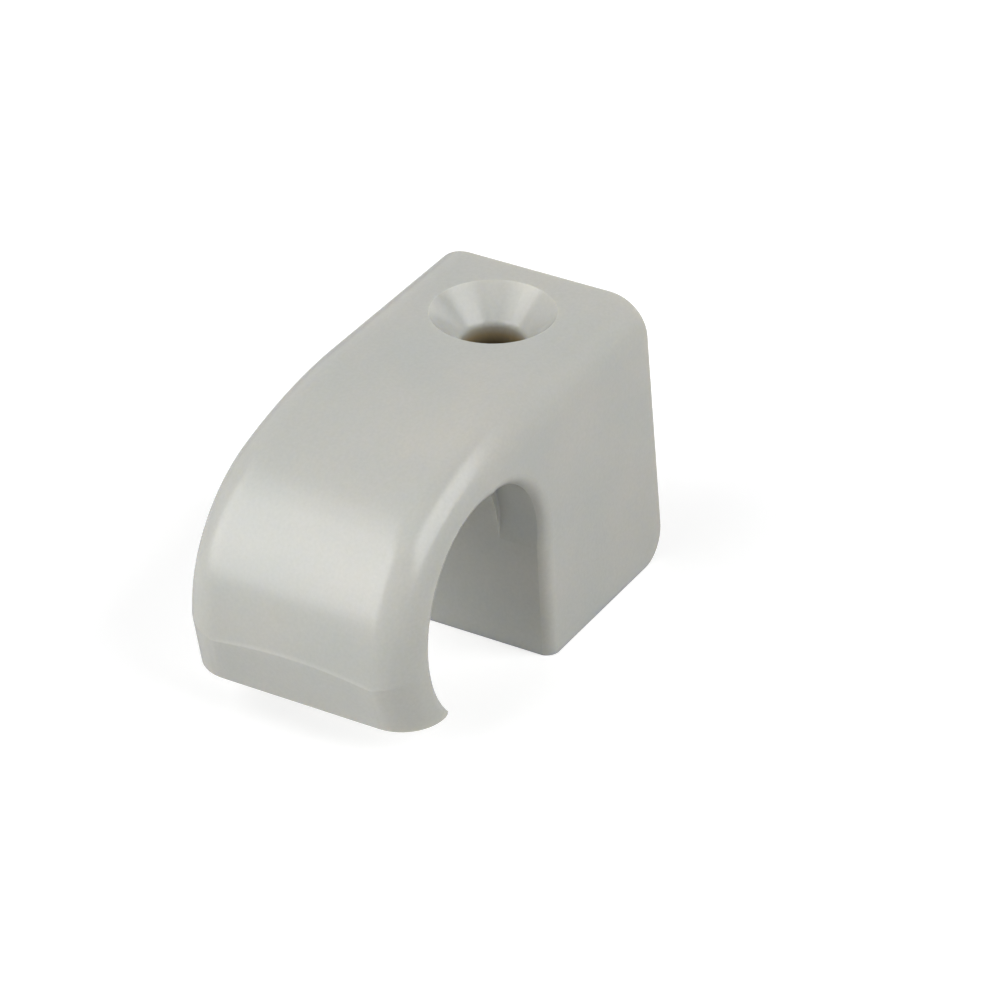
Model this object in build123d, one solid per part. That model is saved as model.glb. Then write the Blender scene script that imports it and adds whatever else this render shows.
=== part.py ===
from build123d import *
import os
from math import radians, sqrt, tan

os.makedirs("parts", exist_ok=True)

# Frame: screw axis on Z, wall plane at Z = 0, cable along Y, hook towards -X. Millimetres.

# Block that takes the screw
base_half_width = 8.51     # half of the width, measured at the wall plane
draft_angle = 3.0          # lean of both sides and of the back, degrees
back_x = 6.75              # back face, measured at the wall plane
inner_x = -7.56            # channel wall of the block, facing the cable
heel_radius = 2.10         # round between the back and the wall face
top_round = 2.60           # large round along both top edges, block to hook

# Screw hole
hole_diameter = 4.0
head_diameter = 8.0        # countersink rim in the flat top
head_angle = 90.0          # included angle of the countersink, degrees
seat_round = 0.60          # soft step from the countersink into the hole

# Cable channel and hook
bore_radius = 6.95
bore_z = 7.70              # height of the cable axis above the wall plane
hook_wall = 2.73           # thickness of the hook in front of the cable
roof_rise = 1.17           # height of the flat top over the hook's outer round
hook_gap = 2.95            # gap between the hook's lower face and the wall plane

# Chin: the lower front of the hook, below the parting edge
parting_drop = 1.10        # parting edge below the cable axis, at the middle
chin_setback = 0.94        # foot of the chin behind the hook's front
chin_hollow = 0.08         # how much more the chin leans at its sides, per mm of height
chin_round = 2.78          # plan round of the chin's two corners

# Soft edge round both mouths of the channel
mouth_round = 0.92
fade_arch = 0.22           # how far the soft edge has shrunk over the top of the arch
fade_hook = 0.40           # how far it has shrunk in front of the cable
mouth_bite = 0.03          # keeps the soft edge off a bare tangent on the channel wall
face_bite = 0.006          # keeps the soft edge off a bare tangent on the side face

# Shallow relief inside each mouth, in the upper corner of the channel over the block's wall
relief_inset = 1.45        # its radius is this much smaller than the channel's
relief_bite = 0.15         # its depth behind the channel wall
relief_lift = 1.17         # its axis above the cable axis
relief_depth = 3.43        # reach in from the side face
relief_corner = 0.15       # round at its inner end

# Positions that follow from the sizes
slope = tan(radians(draft_angle))
outer_radius = bore_radius + hook_wall
bore_x = inner_x - bore_radius
front_x = bore_x - outer_radius
rise = outer_radius + roof_rise
height = bore_z + rise
back_top_x = back_x - height * slope
tip_x = bore_x - sqrt(bore_radius**2 - (bore_z - hook_gap) ** 2)
relief_radius = bore_radius - relief_inset
relief_x = inner_x + relief_bite - relief_radius
relief_z = bore_z + relief_lift
head_depth = (head_diameter - hole_diameter) / 2.0 / tan(radians(head_angle / 2.0))
overrun = height           # tools run this far past the part

# The roof arc leaves the flat top over the channel wall and ends tangent on the hook's outer round
roof_radius = (bore_radius**2 - outer_radius**2 + rise**2) / (2.0 * roof_rise)
roof_turn = Vector(-bore_radius, roof_radius - rise) / (roof_radius - outer_radius)
roof_end = Vector(bore_x, bore_z) + roof_turn * outer_radius


def half_width(z):
    """Half of the drafted width at height z."""
    return base_half_width - z * slope


def side_profile():
    """Outline seen along the cable: block, roof, hook and channel in one loop."""
    roof_start = (inner_x, height)
    hook_front = (front_x, bore_z)
    tip = (tip_x, hook_gap)
    loop = Polyline((inner_x, bore_z), (inner_x, 0), (back_x, 0), (back_top_x, height), roof_start)
    loop += RadiusArc(roof_start, roof_end, -roof_radius)
    loop += RadiusArc(roof_end, hook_front, -outer_radius)
    loop += Polyline(hook_front, (front_x, hook_gap), tip)
    loop += ThreePointArc(tip, (bore_x, bore_z + bore_radius), (inner_x, bore_z))
    face = make_face(loop)
    heel = face.vertices().sort_by_distance((back_x, 0))[0]
    return fillet(heel, heel_radius)


def drafted_bar(x_from, x_to, z_from, z_to):
    """Bar along X whose two sides lean in with the draft."""
    low = half_width(z_from)
    high = half_width(z_to)
    section = make_face(Polyline((-low, z_from), (low, z_from), (high, z_to), (-high, z_to), close=True))
    return extrude(Plane((x_from, 0, 0), x_dir=(0, 1, 0), z_dir=(1, 0, 0)) * section, x_to - x_from)


def rounded_body():
    """Drafted body with the large round along both outer edges, from the back to the hook's foot."""
    slab = extrude(Plane.XZ * side_profile(), base_half_width, both=True)
    body = slab & drafted_bar(front_x - overrun, back_x + overrun, -overrun, height + overrun)
    arc_mid = outer_radius * sqrt(0.5)
    roof_mid = (Vector(inner_x, height) + roof_end) / 2.0
    path = [
        ((back_top_x + inner_x) / 2.0, height),
        (roof_mid.X, roof_mid.Y),
        (bore_x - arc_mid, bore_z + arc_mid),
        (front_x, (bore_z + hook_gap) / 2.0),
    ]
    edges = []
    for side in (-1, 1):
        for x, z in path:
            edges.append(body.edges().sort_by_distance((x, side * half_width(z), z))[0])
    return fillet(edges, top_round)


def chin_cut():
    """Waste in front of the chin; a leaning, slightly hollow front with round corners is left."""
    lean = chin_setback / (bore_z - parting_drop - hook_gap)
    levels = []
    ends = []
    for climb in (-hook_gap / 2.0, rise / 2.0 + bore_z - hook_gap):
        z = hook_gap + climb
        w = half_width(z)
        middle_x = front_x + chin_setback - lean * climb
        side_x = middle_x - chin_hollow * climb
        loop = Polyline((side_x, w), (bore_x, w), (bore_x, -w), (side_x, -w))
        loop += ThreePointArc((side_x, -w), (middle_x, 0), (side_x, w))
        levels.append(Plane((0, 0, z)) * make_face(loop))
        ends.append(Vector(side_x, w, z))
    chin = loft(levels, ruled=True)
    corner = (ends[0] + ends[1]) / 2.0
    edges = [chin.edges().sort_by_distance((corner.X, side * corner.Y, corner.Z))[0] for side in (-1, 1)]
    chin = fillet(edges, chin_round)
    return drafted_bar(front_x - overrun, bore_x, ends[0].Z, ends[1].Z) - chin


def soft_edge_section(centre):
    """Corner waste beside a round of mouth_round; the side face lies on the section's x axis."""
    inside = mouth_round - face_bite
    diagonal = mouth_round * sqrt(0.5)
    start = (centre - mouth_round, -inside)
    crown = (centre, face_bite)
    clear = centre - 2.0 * mouth_round
    loop = ThreePointArc(start, (centre - diagonal, diagonal - inside), crown)
    loop += Polyline(crown, (centre, mouth_round), (clear, mouth_round), (clear, -inside), start)
    return make_face(loop)


def side_face(side, x, z):
    """Plane on one drafted side face, its x axis along X on the near side and against X on the far side."""
    return Plane((x, side * half_width(z), z), x_dir=(-side, 0, 0), z_dir=(0, side, slope))


def soft_ring(side, x, z, radius):
    """Waste of a soft edge round a circle in one side face."""
    return side_face(side, x, z) * revolve(Plane.XZ * soft_edge_section(radius + mouth_round), Axis.Z)


def mouth_cuts(side):
    """Soft edge round one mouth: full along the block and its relief, smaller along the hook to its tip."""
    hook_side = Pos(bore_x + bore_radius / 2.0, 0, bore_z) * Box(
        4.0 * overrun,
        4.0 * overrun,
        4.0 * overrun,
        align=(Align.MAX, Align.CENTER, Align.CENTER),
    )
    hook_ring = soft_ring(side, bore_x + fade_hook - fade_arch, bore_z, bore_radius - fade_arch)
    relief_ring = soft_ring(side, relief_x, relief_z, relief_radius - mouth_bite)
    post = extrude(Plane.XZ * soft_edge_section(bore_radius + mouth_round - mouth_bite), overrun, both=True)
    if side > 0:
        post = mirror(post, about=Plane.YZ)
    wall_side = Pos(bore_x, 0, relief_z) * Box(
        2.0 * overrun,
        4.0 * overrun,
        2.0 * overrun,
        align=(Align.MIN, Align.CENTER, Align.MAX),
    )
    return [hook_ring & hook_side, relief_ring, (side_face(side, bore_x, bore_z) * post) & wall_side]


def relief_cut(side):
    """Shallow relief inside one mouth: a round-ended bore beside the channel's own."""
    stand = (Align.CENTER, Align.CENTER, Align.MIN)
    cutter = Cylinder(relief_radius, overrun, align=stand)
    inner_end = cutter.edges().sort_by(Axis.Z)[0]
    cutter = Rot(90, 0, 0) * fillet(inner_end, relief_corner)
    cutter = Pos(relief_x, relief_depth - half_width(bore_z), relief_z) * cutter
    if side > 0:
        cutter = mirror(cutter, about=Plane.XZ)
    return cutter


def screw_cut():
    """Through hole with a countersink for the screw head and a soft step between them."""
    hole_radius = hole_diameter / 2.0
    head_radius = head_diameter / 2.0
    seat_z = height - head_depth
    loop = Polyline(
        (0, -overrun),
        (hole_radius, -overrun),
        (hole_radius, seat_z),
        (head_radius, height),
        (head_radius, height + overrun),
        (0, height + overrun),
        close=True,
    )
    section = make_face(loop)
    step = section.vertices().sort_by_distance((hole_radius, seat_z))[0]
    return revolve(Plane.XZ * fillet(step, seat_round), Axis.Z)


clamp = rounded_body() - chin_cut()
for side in (-1, 1):
    clamp = clamp - relief_cut(side)
    for waste in mouth_cuts(side):
        clamp = clamp - waste
clamp = clamp - screw_cut()
clamp.label = "clamp_body"
export_step(clamp, "parts/clamp_body.step")
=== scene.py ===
"""Cable clamp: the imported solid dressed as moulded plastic, on a plain studio stage."""

import math

import bpy
import numpy as np
from bpy.props import FloatProperty, FloatVectorProperty, PointerProperty
from bpy.types import Operator, Panel, PropertyGroup
from mathutils import Matrix, Vector


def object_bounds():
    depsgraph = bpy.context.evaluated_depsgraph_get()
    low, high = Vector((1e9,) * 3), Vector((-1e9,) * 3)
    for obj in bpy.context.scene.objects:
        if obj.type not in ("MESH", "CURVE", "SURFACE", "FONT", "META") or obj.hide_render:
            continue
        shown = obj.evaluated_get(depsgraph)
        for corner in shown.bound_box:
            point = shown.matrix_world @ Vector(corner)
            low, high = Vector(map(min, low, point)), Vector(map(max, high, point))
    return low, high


bl_info = {
    "name": "Cable Clamp Dressing",
    "version": (1, 0, 0),
    "blender": (4, 5, 0),
    "location": "View3D > Sidebar > Clamp",
    "description": "Dresses a cable clamp as satin moulded plastic and sets up its studio stage",
    "category": "Object",
}

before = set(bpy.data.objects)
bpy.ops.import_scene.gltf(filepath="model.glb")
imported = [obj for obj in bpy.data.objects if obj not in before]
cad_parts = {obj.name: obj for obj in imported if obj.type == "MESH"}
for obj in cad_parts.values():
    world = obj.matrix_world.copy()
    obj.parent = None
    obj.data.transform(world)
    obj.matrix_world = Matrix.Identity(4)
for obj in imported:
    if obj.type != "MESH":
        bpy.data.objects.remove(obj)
CAD_LOW, CAD_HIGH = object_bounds()
CLAMP_NODE = "clamp_body"

# Camera: width of the photograph's frame in pixels, and of the sensor in millimetres
IMAGE_WIDTH = 1000
SENSOR_WIDTH = 36.0

# Lengths from here on are in metres

# Floor: gap under the clamp's base, and number of steps along each side of its grid
FLOOR_GAP = 0.00002
FLOOR_STEPS = 8

# Screw hole on the Z axis: radius of its wall, margin outside the wall over which its painted shade fades
# out, depths below the flat top at which the painted shade starts and is full, and the share of the way
# between them over which the painted shade turns brown, before it turns dark
HOLE_RADIUS = 0.0020
HOLE_MARGIN = (0.00005, 0.00025)
HOLE_SHADE_START = 0.00205
HOLE_SHADE_FULL = 0.00365
HOLE_BROWN_SHADE_SHARE = 0.45

# Chin, the leaning lower front of the hook: setback of its foot, heights of its foot and of the parting
# edge at the middle, extra lean at its two sides, and half of its width
CHIN_SETBACK = 0.00094
CHIN_FOOT = 0.00295
CHIN_EDGE = 0.0066
CHIN_SIDE_LEAN = 0.08
CHIN_HALF_WIDTH = 0.0082

# Painted highlight over the parting edge: how far behind the chin's surface, carried on upwards, it comes in
# and goes out, and how far from the middle it fades towards the hook's two sides
RIM_HIGHLIGHT_IN = (0.000010, 0.000020)
RIM_HIGHLIGHT_OUT = (0.000035, 0.000100)
RIM_HIGHLIGHT_SIDES = (0.0046, 0.0062)

# Stretches of the noise that become colour clouds, speckle and gloss, and dull patches across one cloud
CLOUD_STOPS = (0.30, 0.50, 0.70)
SPECKLE_RANGE = (0.25, 0.75)
GLOSS_RANGE = (0.35, 0.65)
PATCHES_PER_CLOUD = 3.0

# Softboxes: name, property with the brightness, bearing and elevation in degrees, width and height in metres
SOFTBOXES = (
    ("left_softbox", "left_light", -127.0, 25.0, 0.65, 0.58),
    ("left_softbox_core", "left_core", -122.0, 26.0, 0.55, 0.20),
    ("right_softbox", "right_light", 6.0, 39.0, 0.60, 0.42),
    ("high_softbox", "high_light", -134.0, 55.0, 0.55, 0.14),
    ("front_softbox", "front_light", -60.0, 60.0, 0.20, 0.17),
    ("back_softbox", "back_light", 85.0, 14.0, 0.50, 0.38),
)


class ClampFinish(PropertyGroup):
    """Colour and surface of the moulded plastic, with painted shade in the screw hole and a painted
    highlight along the parting edge.
    """

    plastic_colour: FloatVectorProperty(
        name="Plastic colour",
        description="Mean colour of the light grey plastic",
        subtype="COLOR",
        default=(0.450, 0.452, 0.422),
        min=0.0,
        max=1.0,
    )
    cool_colour: FloatVectorProperty(
        name="Cool cloud colour",
        description="Cooler tint where the pigment has not mixed evenly",
        subtype="COLOR",
        default=(0.434, 0.444, 0.418),
        min=0.0,
        max=1.0,
    )
    warm_colour: FloatVectorProperty(
        name="Warm cloud colour",
        description="Warmer tint where the pigment has not mixed evenly",
        subtype="COLOR",
        default=(0.470, 0.464, 0.428),
        min=0.0,
        max=1.0,
    )
    bleed_share: FloatProperty(
        name="Bleed share",
        description="Share of the light that travels under the surface of the slightly translucent plastic",
        subtype="FACTOR",
        default=0.55,
        min=0.0,
        max=1.0,
    )
    bleed_depth: FloatProperty(
        name="Bleed depth",
        description="How far that light travels before it comes out again",
        unit="LENGTH",
        default=0.0014,
        min=0.0,
    )
    bleed_colour: FloatVectorProperty(
        name="Bleed by colour",
        description="Share of the bleed depth that red, green and blue light reach",
        default=(1.0, 0.80, 0.42),
        min=0.0,
        max=1.0,
    )
    # Painted shade: brown darkening of the screw hole's wall below the seat.
    hole_shade_colour: FloatVectorProperty(
        name="Painted hole wall shade",
        description="Brown painted shade on the screw hole's wall below the seat",
        subtype="COLOR",
        default=(0.320, 0.255, 0.150),
        min=0.0,
        max=1.0,
    )
    # Painted shade: near black deep inside the screw hole.
    deep_shade_colour: FloatVectorProperty(
        name="Painted hole depth shade",
        description="Dark painted shade deep inside the screw hole",
        subtype="COLOR",
        default=(0.030, 0.022, 0.013),
        min=0.0,
        max=1.0,
    )
    speckle: FloatProperty(
        name="Speckle",
        description="How far the fine grain lightens and darkens the colour",
        subtype="FACTOR",
        default=0.030,
        min=0.0,
        max=1.0,
    )
    # Painted highlight: a thin lighter line where the parting edge catches the light.
    rim_highlight_strength: FloatProperty(
        name="Parting edge highlight",
        description="How much the painted highlight lightens the plastic along the mould's parting edge over the chin",
        subtype="FACTOR",
        default=0.10,
        min=0.0,
        max=1.0,
    )
    cloud_size: FloatProperty(
        name="Cloud size",
        description="Size of the soft colour clouds in the plastic",
        unit="LENGTH",
        default=0.007,
        min=0.0005,
    )
    grain_size: FloatProperty(
        name="Grain size",
        description="Size of the fine grain that the mould leaves on the surface",
        unit="LENGTH",
        default=0.00022,
        min=0.00002,
    )
    grain_depth: FloatProperty(
        name="Grain depth",
        description="Depth of the mould grain",
        unit="LENGTH",
        default=0.0000012,
        min=0.0,
    )
    wave_size: FloatProperty(
        name="Sink wave size",
        description="Length of the faint waves left as the plastic cools and shrinks",
        unit="LENGTH",
        default=0.006,
        min=0.0005,
    )
    wave_depth: FloatProperty(
        name="Sink wave depth",
        description="Depth of the faint cooling waves",
        unit="LENGTH",
        default=0.000010,
        min=0.0,
    )
    gloss_low: FloatProperty(
        name="Lowest roughness",
        description="Roughness where the mould was polished best",
        subtype="FACTOR",
        default=0.20,
        min=0.0,
        max=1.0,
    )
    gloss_high: FloatProperty(
        name="Highest roughness",
        description="Roughness where handling has dulled the surface",
        subtype="FACTOR",
        default=0.27,
        min=0.0,
        max=1.0,
    )


class ClampStage(PropertyGroup):
    """Floor, light and camera of the studio."""

    floor_colour: FloatVectorProperty(
        name="Floor colour",
        description="Colour of the plain pale floor",
        subtype="COLOR",
        default=(0.68, 0.68, 0.68),
        min=0.0,
        max=1.0,
    )
    floor_size: FloatProperty(
        name="Floor size",
        description="Half of the floor's side",
        unit="LENGTH",
        default=3.0,
        min=0.1,
    )
    floor_lift: FloatProperty(
        name="Floor lift",
        description="How far the camera sees the floor lifted towards white",
        default=0.50,
        min=0.0,
        max=1.0,
    )
    room_light: FloatProperty(
        name="Room light",
        description="Strength of the even light from all round",
        default=0.14,
        min=0.0,
    )
    left_light: FloatProperty(
        name="Left softbox",
        description="Brightness of the large softbox at the hook's side",
        default=3.00,
        min=0.0,
    )
    left_core: FloatProperty(
        name="Left softbox core",
        description="Extra brightness along the middle of the left softbox",
        default=0.60,
        min=0.0,
    )
    right_light: FloatProperty(
        name="Right softbox",
        description="Brightness of the softbox at the near side",
        default=3.75,
        min=0.0,
    )
    high_light: FloatProperty(
        name="High softbox",
        description="Brightness of the softbox above the left one",
        default=1.70,
        min=0.0,
    )
    front_light: FloatProperty(
        name="Front softbox",
        description="Brightness of the small softbox above the camera",
        default=0.70,
        min=0.0,
    )
    back_light: FloatProperty(
        name="Back softbox",
        description="Brightness of the fill light behind the block",
        default=0.90,
        min=0.0,
    )
    lamp_distance: FloatProperty(
        name="Lamp distance",
        description="Distance from the clamp to each softbox",
        unit="LENGTH",
        default=0.60,
        min=0.05,
    )
    camera_place: FloatVectorProperty(
        name="Camera place",
        description="Where the camera stands",
        subtype="TRANSLATION",
        unit="LENGTH",
        default=(-0.24155, -0.14063, 0.17718),
    )
    camera_azimuth: FloatProperty(
        name="Camera azimuth",
        description="Bearing of the camera round the clamp",
        subtype="ANGLE",
        default=math.radians(-59.87),
    )
    camera_elevation: FloatProperty(
        name="Camera elevation",
        description="Height of the camera's line of sight above the horizon",
        subtype="ANGLE",
        default=math.radians(31.65),
    )
    camera_roll: FloatProperty(
        name="Camera roll",
        description="Turn of the camera about its line of sight",
        subtype="ANGLE",
        default=math.radians(-0.22),
    )
    focal_pixels: FloatProperty(
        name="Focal length in pixels",
        description="Focal length measured in pixels of the photograph's frame",
        default=5198.7,
        min=1.0,
    )


def add_node(tree, kind, **values):
    """Adds a shader node and sets its sockets by name; spaces in names are written as underscores."""
    node = tree.nodes.new(kind)
    for name, value in values.items():
        node.inputs[name.replace("_", " ")].default_value = value
    return node


def noise(tree, place, size, detail, roughness):
    """Noise on object coordinates whose cells are about size metres wide."""
    node = add_node(tree, "ShaderNodeTexNoise", Scale=1.0 / size, Detail=detail, Roughness=roughness)
    tree.links.new(place, node.inputs["Vector"])
    return node.outputs["Fac"]


def spread(tree, value, low, high, to_low, to_high):
    """Maps a value from one range to another, held inside the new range."""
    node = tree.nodes.new("ShaderNodeMapRange")
    tree.links.new(value, node.inputs["Value"])
    for name, number in zip(("From Min", "From Max", "To Min", "To Max"), (low, high, to_low, to_high)):
        node.inputs[name].default_value = number
    return node.outputs["Result"]


def math_node(tree, operation, *values):
    """Math node on numbers or sockets."""
    node = tree.nodes.new("ShaderNodeMath")
    node.operation = operation
    for socket, value in zip(node.inputs, values):
        if isinstance(value, bpy.types.NodeSocket):
            tree.links.new(value, socket)
        else:
            socket.default_value = value
    return node.outputs["Value"]


def axes_of(tree, place):
    """The x, y and z sockets of a position."""
    split = tree.nodes.new("ShaderNodeSeparateXYZ")
    tree.links.new(place, split.inputs["Vector"])
    return split.outputs


def hole_shade_mask(tree, place):
    """Mask of the painted shade in the screw hole: rises from 0 at the seat of the screw head to 1 deeper
    inside the hole; 0 outside the hole.
    """
    across = tree.nodes.new("ShaderNodeVectorMath")
    across.operation = "MULTIPLY"
    across.inputs[1].default_value = (1.0, 1.0, 0.0)
    tree.links.new(place, across.inputs[0])
    radius = tree.nodes.new("ShaderNodeVectorMath")
    radius.operation = "LENGTH"
    tree.links.new(across.outputs["Vector"], radius.inputs[0])
    near, far = (HOLE_RADIUS + margin for margin in HOLE_MARGIN)
    inside = spread(tree, radius.outputs["Value"], near, far, 1.0, 0.0)
    drop = math_node(tree, "SUBTRACT", CAD_HIGH.z, axes_of(tree, place)["Z"])
    below = spread(tree, drop, HOLE_SHADE_START, HOLE_SHADE_FULL, 0.0, 1.0)
    return math_node(tree, "MULTIPLY", inside, below)


def parting_highlight_mask(tree, place):
    """Mask of the painted highlight: 1 on a thin line along the parting edge, just over the chin's leaning
    front; 0 elsewhere.

    The chin's lean grows with the square of y; behind is the distance along X from its surface.
    """
    axes = axes_of(tree, place)
    y = axes["Y"]
    middle_lean = CHIN_SETBACK / (CHIN_EDGE - CHIN_FOOT)
    side_growth = CHIN_SIDE_LEAN / CHIN_HALF_WIDTH**2
    lean = math_node(tree, "MULTIPLY_ADD", math_node(tree, "MULTIPLY", y, y), side_growth, middle_lean)
    climb = math_node(tree, "SUBTRACT", axes["Z"], CHIN_FOOT)
    inset = math_node(tree, "SUBTRACT", axes["X"], CAD_LOW.x + CHIN_SETBACK)
    behind = math_node(tree, "MULTIPLY_ADD", climb, lean, inset)
    starts = spread(tree, behind, *RIM_HIGHLIGHT_IN, 0.0, 1.0)
    ends = spread(tree, behind, *RIM_HIGHLIGHT_OUT, 1.0, 0.0)
    fades = spread(tree, math_node(tree, "ABSOLUTE", y), *RIM_HIGHLIGHT_SIDES, 1.0, 0.0)
    return math_node(tree, "MULTIPLY", math_node(tree, "MULTIPLY", starts, ends), fades)


def pigment(tree, place, finish):
    """Soft clouds of cooler and warmer grey round the mean colour."""
    ramp = tree.nodes.new("ShaderNodeValToRGB")
    stops = ramp.color_ramp.elements
    stops.new(CLOUD_STOPS[1])
    colours = (finish.cool_colour, finish.plastic_colour, finish.warm_colour)
    for stop, position, colour in zip(stops, CLOUD_STOPS, colours):
        stop.position = position
        stop.color = (*colour, 1.0)
    clouds = noise(tree, place, finish.cloud_size, detail=3.0, roughness=0.5)
    tree.links.new(clouds, ramp.inputs["Fac"])
    return ramp.outputs["Color"]


def paint_hole_shade(tree, place, finish, colour):
    """Paints shade into a colour inside the screw hole: brown on the wall below the seat, then dark with
    depth.
    """
    depth = hole_shade_mask(tree, place)
    stages = (
        (0.0, HOLE_BROWN_SHADE_SHARE, finish.hole_shade_colour),
        (HOLE_BROWN_SHADE_SHARE, 1.0, finish.deep_shade_colour),
    )
    for start, end, tint in stages:
        mix = tree.nodes.new("ShaderNodeMix")
        mix.data_type = "RGBA"
        tree.links.new(spread(tree, depth, start, end, 0.0, 1.0), mix.inputs["Factor"])
        tree.links.new(colour, mix.inputs["A"])
        mix.inputs["B"].default_value = (*tint, 1.0)
        colour = mix.outputs["Result"]
    return colour


def surface_tone(tree, place, finish, colour, fine):
    """Lightens and darkens a colour with the fine grain, and lightens it with a painted highlight along the
    parting edge.
    """
    level = spread(tree, fine, *SPECKLE_RANGE, 1.0 - finish.speckle, 1.0 + finish.speckle)
    # Painted highlight along the parting edge over the chin.
    level = math_node(tree, "MULTIPLY_ADD", parting_highlight_mask(tree, place), finish.rim_highlight_strength, level)
    scaled = tree.nodes.new("ShaderNodeVectorMath")
    scaled.operation = "SCALE"
    tree.links.new(colour, scaled.inputs["Vector"])
    tree.links.new(level, scaled.inputs["Scale"])
    return scaled.outputs["Vector"]


def relief_normal(tree, place, finish, fine):
    """Faint cooling waves with the fine mould grain on top."""
    waves = add_node(tree, "ShaderNodeBump", Strength=1.0, Distance=finish.wave_depth)
    swell = noise(tree, place, finish.wave_size, detail=1.0, roughness=0.4)
    tree.links.new(swell, waves.inputs["Height"])
    grain = add_node(tree, "ShaderNodeBump", Strength=1.0, Distance=finish.grain_depth)
    tree.links.new(fine, grain.inputs["Height"])
    tree.links.new(waves.outputs["Normal"], grain.inputs["Normal"])
    return grain.outputs["Normal"]


def moulded_plastic(finish):
    """Satin grey, slightly translucent plastic with uneven gloss."""
    material = bpy.data.materials.new("moulded_plastic_light_grey")
    material.use_nodes = True
    tree = material.node_tree
    tree.nodes.clear()
    output = tree.nodes.new("ShaderNodeOutputMaterial")
    shader = add_node(
        tree,
        "ShaderNodeBsdfPrincipled",
        IOR=1.5,
        Subsurface_Weight=finish.bleed_share,
        Subsurface_Radius=finish.bleed_colour,
        Subsurface_Scale=finish.bleed_depth,
    )
    tree.links.new(shader.outputs["BSDF"], output.inputs["Surface"])
    place = tree.nodes.new("ShaderNodeTexCoord").outputs["Object"]
    fine = noise(tree, place, finish.grain_size, detail=2.0, roughness=0.5)
    # Painted shade: the screw hole turns brown, then near black with depth.
    colour = paint_hole_shade(tree, place, finish, pigment(tree, place, finish))
    colour = surface_tone(tree, place, finish, colour, fine)
    tree.links.new(colour, shader.inputs["Base Color"])
    dull = noise(tree, place, finish.cloud_size / PATCHES_PER_CLOUD, detail=4.0, roughness=0.6)
    gloss = spread(tree, dull, *GLOSS_RANGE, finish.gloss_low, finish.gloss_high)
    tree.links.new(gloss, shader.inputs["Roughness"])
    tree.links.new(relief_normal(tree, place, finish, fine), shader.inputs["Normal"])
    return material


class CLAMP_OT_dress_body(Operator):
    """Give the clamp's solid its moulded plastic"""

    bl_idname = "clamp.dress_body"
    bl_label = "Dress Clamp Body"

    def execute(self, context):
        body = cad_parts[CLAMP_NODE]
        material = moulded_plastic(context.scene.clamp_finish)
        for slot in body.material_slots:
            slot.material = material
        return {"FINISHED"}


def floor_grid(half, height, steps):
    """Flat square grid: x and y run from -half to half in equal steps, z is the given height."""
    line = np.linspace(-half, half, steps + 1)
    x, y = np.meshgrid(line, line, indexing="ij")
    points = np.stack([x, y, np.full_like(x, height)], axis=-1).reshape(-1, 3)
    index = np.arange(points.shape[0]).reshape(steps + 1, steps + 1)
    quads = np.stack([index[:-1, :-1], index[1:, :-1], index[1:, 1:], index[:-1, 1:]], axis=-1)
    return points, quads.reshape(-1, 4)


def pale_floor(stage):
    """Matt floor that the camera sees lifted to white where it is fully lit, with the shadow kept."""
    material = bpy.data.materials.new("pale_floor")
    material.use_nodes = True
    tree = material.node_tree
    tree.nodes.clear()
    output = tree.nodes.new("ShaderNodeOutputMaterial")
    matt = add_node(tree, "ShaderNodeBsdfDiffuse", Color=(*stage.floor_colour, 1.0))
    lift = add_node(tree, "ShaderNodeEmission", Color=(1.0, 1.0, 1.0, 1.0))
    seen = tree.nodes.new("ShaderNodeLightPath").outputs["Is Camera Ray"]
    tree.links.new(spread(tree, seen, 0.0, 1.0, 0.0, stage.floor_lift), lift.inputs["Strength"])
    both = tree.nodes.new("ShaderNodeAddShader")
    tree.links.new(matt.outputs["BSDF"], both.inputs[0])
    tree.links.new(lift.outputs["Emission"], both.inputs[1])
    tree.links.new(both.outputs["Shader"], output.inputs["Surface"])
    return material


def room(stage):
    """Even light from all round; seen straight on or mirrored it is plain white."""
    world = bpy.data.worlds.new("studio_room")
    world.use_nodes = True
    tree = world.node_tree
    tree.nodes.clear()
    output = tree.nodes.new("ShaderNodeOutputWorld")
    back = add_node(tree, "ShaderNodeBackground", Color=(1.0, 1.0, 1.0, 1.0))
    path = tree.nodes.new("ShaderNodeLightPath")
    seen = path.outputs["Is Camera Ray"]
    for name in ("Is Glossy Ray", "Is Transmission Ray"):
        seen = math_node(tree, "MAXIMUM", seen, path.outputs[name])
    tree.links.new(spread(tree, seen, 0.0, 1.0, stage.room_light, 1.0), back.inputs["Strength"])
    tree.links.new(back.outputs["Background"], output.inputs["Surface"])
    return world


def direction(bearing, elevation):
    """Unit vector towards a bearing and an elevation, both in radians."""
    level = math.cos(elevation)
    return Vector((math.sin(bearing) * level, -math.cos(bearing) * level, math.sin(elevation)))


def softbox(name, target, bearing, elevation, distance, width, height, brightness):
    """Rectangular light that faces the target from a bearing and an elevation, both in degrees.

    An area light's power is pi times its area times its brightness.
    """
    lamp = bpy.data.lights.new(name, "AREA")
    lamp.shape = "RECTANGLE"
    lamp.size = width
    lamp.size_y = height
    lamp.energy = math.pi * width * height * brightness
    light = bpy.data.objects.new(name, lamp)
    bpy.context.scene.collection.objects.link(light)
    away = direction(math.radians(bearing), math.radians(elevation))
    light.location = target + away * distance
    light.rotation_euler = away.to_track_quat("Z", "Y").to_euler()
    light.visible_camera = False


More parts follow.
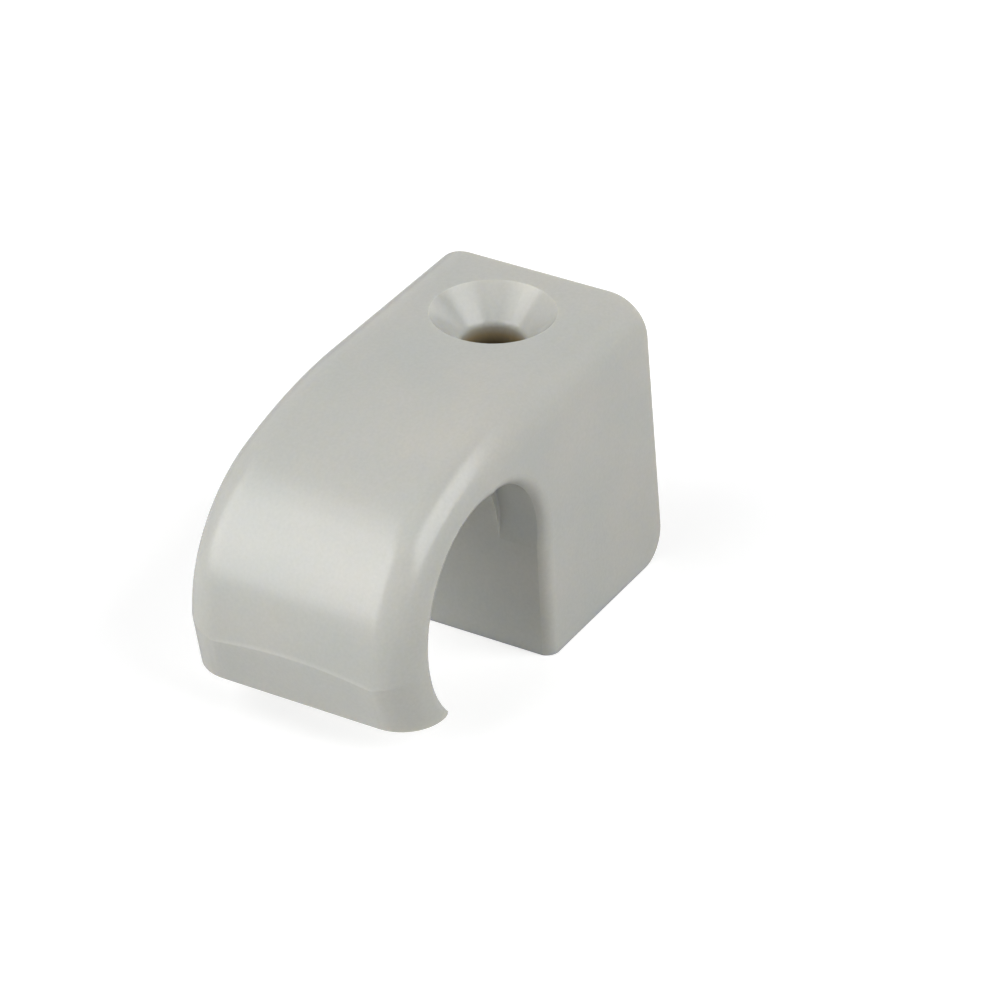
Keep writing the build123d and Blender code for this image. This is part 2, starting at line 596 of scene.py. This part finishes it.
def photo_camera(stage):
    """Camera from its bearing, elevation and roll: right, up and back axes, then its place."""
    back = direction(stage.camera_azimuth, stage.camera_elevation)
    level = Vector((math.cos(stage.camera_azimuth), math.sin(stage.camera_azimuth), 0.0))
    upright = back.cross(level)
    right = level * math.cos(stage.camera_roll) + upright * math.sin(stage.camera_roll)
    up = upright * math.cos(stage.camera_roll) - level * math.sin(stage.camera_roll)
    lens = bpy.data.cameras.new("photo_camera")
    lens.sensor_fit = "HORIZONTAL"
    lens.sensor_width = SENSOR_WIDTH
    lens.lens = stage.focal_pixels * SENSOR_WIDTH / IMAGE_WIDTH
    lens.clip_start = 0.01
    lens.clip_end = 100.0
    camera = bpy.data.objects.new("photo_camera", lens)
    bpy.context.scene.collection.objects.link(camera)
    axes = Matrix((right, up, back)).transposed().to_4x4()
    camera.matrix_world = Matrix.Translation(Vector(stage.camera_place)) @ axes
    return camera


class CLAMP_OT_set_stage(Operator):
    """Set up the floor, the soft light and the camera"""

    bl_idname = "clamp.set_stage"
    bl_label = "Set Studio Stage"

    def execute(self, context):
        stage = context.scene.clamp_stage
        points, quads = floor_grid(stage.floor_size, CAD_LOW.z - FLOOR_GAP, FLOOR_STEPS)
        mesh = bpy.data.meshes.new("studio_floor")
        mesh.from_pydata(points.tolist(), [], quads.tolist())
        mesh.materials.append(pale_floor(stage))
        floor = bpy.data.objects.new("studio_floor", mesh)
        context.scene.collection.objects.link(floor)
        context.scene.world = room(stage)
        target = (CAD_LOW + CAD_HIGH) / 2.0
        for name, light, bearing, elevation, width, height in SOFTBOXES:
            brightness = getattr(stage, light)
            softbox(name, target, bearing, elevation, stage.lamp_distance, width, height, brightness)
        context.scene.camera = photo_camera(stage)
        context.scene.view_settings.view_transform = "Standard"
        return {"FINISHED"}


class CLAMP_PT_panel(Panel):
    """Lists the clamp's steps and the values that a user would change"""

    bl_idname = "CLAMP_PT_panel"
    bl_label = "Cable Clamp"
    bl_space_type = "VIEW_3D"
    bl_region_type = "UI"
    bl_category = "Clamp"

    def draw(self, context):
        layout = self.layout
        for step, values in ((CLAMP_OT_dress_body, "clamp_finish"), (CLAMP_OT_set_stage, "clamp_stage")):
            box = layout.box()
            box.operator(step.bl_idname)
            group = getattr(context.scene, values)
            for name in group.__annotations__:
                box.prop(group, name)


CLASSES = (ClampFinish, ClampStage, CLAMP_OT_dress_body, CLAMP_OT_set_stage, CLAMP_PT_panel)


def register():
    for cls in CLASSES:
        bpy.utils.register_class(cls)
    bpy.types.Scene.clamp_finish = PointerProperty(type=ClampFinish)
    bpy.types.Scene.clamp_stage = PointerProperty(type=ClampStage)


def unregister():
    del bpy.types.Scene.clamp_stage
    del bpy.types.Scene.clamp_finish
    for cls in reversed(CLASSES):
        bpy.utils.unregister_class(cls)


def main():
    register()
    bpy.ops.clamp.dress_body()
    bpy.ops.clamp.set_stage()


if __name__ == "__main__":
    main()
